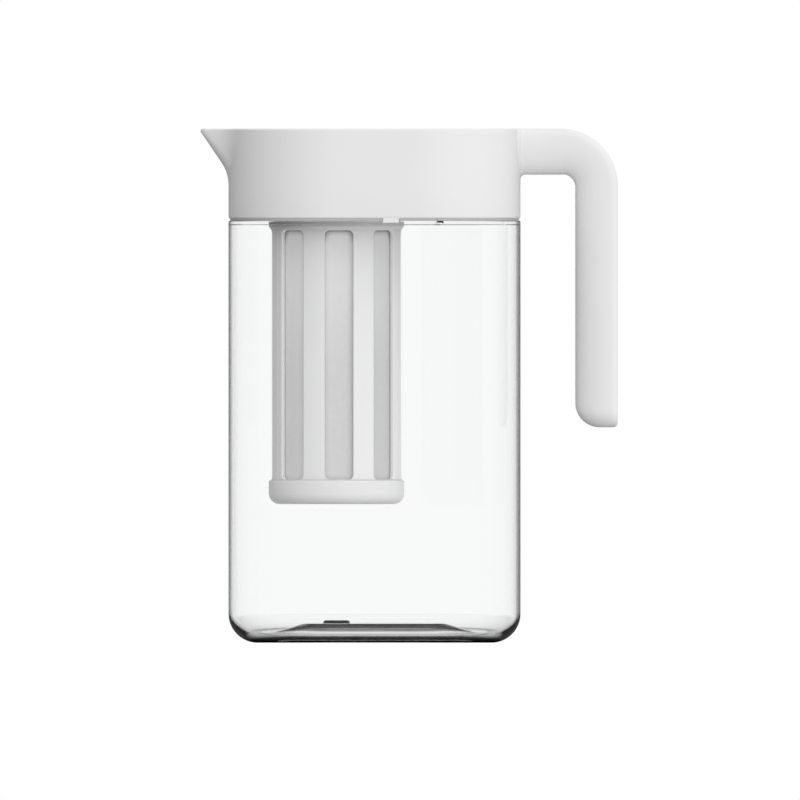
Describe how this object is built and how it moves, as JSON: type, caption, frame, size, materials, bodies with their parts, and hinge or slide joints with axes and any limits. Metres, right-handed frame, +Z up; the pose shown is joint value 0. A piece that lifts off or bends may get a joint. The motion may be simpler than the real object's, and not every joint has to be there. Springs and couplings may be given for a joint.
{
  "type": "water filter pitcher",
  "caption": "Slim clear pitcher with a white collar, V spout and open-ended handle, and a lift-out hopper with a windowed twist-lock filter cage under a hinged fill door.",
  "frame": {"origin": "middle of the base, on the table that the pitcher stands on", "axes": "+Z up, +X towards the handle, so the spout points along -X; +Y across the narrow side"},
  "size_m": [0.2086, 0.108, 0.257],
  "materials": {
    "clear_plastic": "clear, polished",
    "collar_white": "white, fine satin",
    "cover_white": "white, fine satin",
    "hopper_white": "white, slightly milky",
    "cage_white": "white, fine satin",
    "cartridge_white": "white, plain moulded",
    "fleece": "white spun fleece",
    "carbon": "pressed carbon, grainy",
    "seal_rubber": "dark grey silicone rubber",
    "pin_steel": "stainless wire"
  },
  "bodies": {
    "jug": {"vessel": "clear_plastic", "collar": "collar_white", "collar_gasket": "seal_rubber"},
    "hopper": {"hopper": "hopper_white", "hopper_seal": "seal_rubber", "cage_seal": "seal_rubber"},
    "cage": {"filter_cage": "cage_white", "cage_cap": "cage_white"},
    "cartridge": {"cartridge_top_cap": "cartridge_white", "cartridge_bottom_cap": "cartridge_white", "cartridge_core": "cartridge_white", "carbon_block": "carbon", "media_wrap": "fleece", "cartridge_seal": "seal_rubber"},
    "cover": {"cover": "cover_white", "cover_seal": "seal_rubber", "door_pin": "pin_steel", "flap_pin": "pin_steel"},
    "door": {"fill_door": "cover_white"},
    "flap": {"spout_flap": "cover_white"}
  },
  "joints": [
    {"name": "hopper_lift", "type": "slide", "parent": "jug", "child": "hopper", "axis": [0, 0, 1], "range_m": [0, 0.195]},
    {"name": "cage_twist", "type": "hinge", "parent": "hopper", "child": "cage", "pos_m": [-0.019, 0, 0.2227], "axis": [0, 0, 1], "range_deg": [0, 40]},
    {"name": "cartridge_lift", "type": "slide", "parent": "hopper", "child": "cartridge", "axis": [0, 0, 1], "range_m": [0, 0.18]},
    {"name": "cover_lift", "type": "slide", "parent": "cartridge", "child": "cover", "axis": [0, 0, 1], "range_m": [0, 0.05]},
    {"name": "door_hinge", "type": "hinge", "parent": "cover", "child": "door", "pos_m": [0.033, 0, 0.2534], "axis": [0, 1, 0], "range_deg": [0, 100]},
    {"name": "flap_hinge", "type": "hinge", "parent": "cover", "child": "flap", "pos_m": [-0.06301, 0, 0.25365], "axis": [0, 1, 0], "range_deg": [0, 70]}
  ]
}
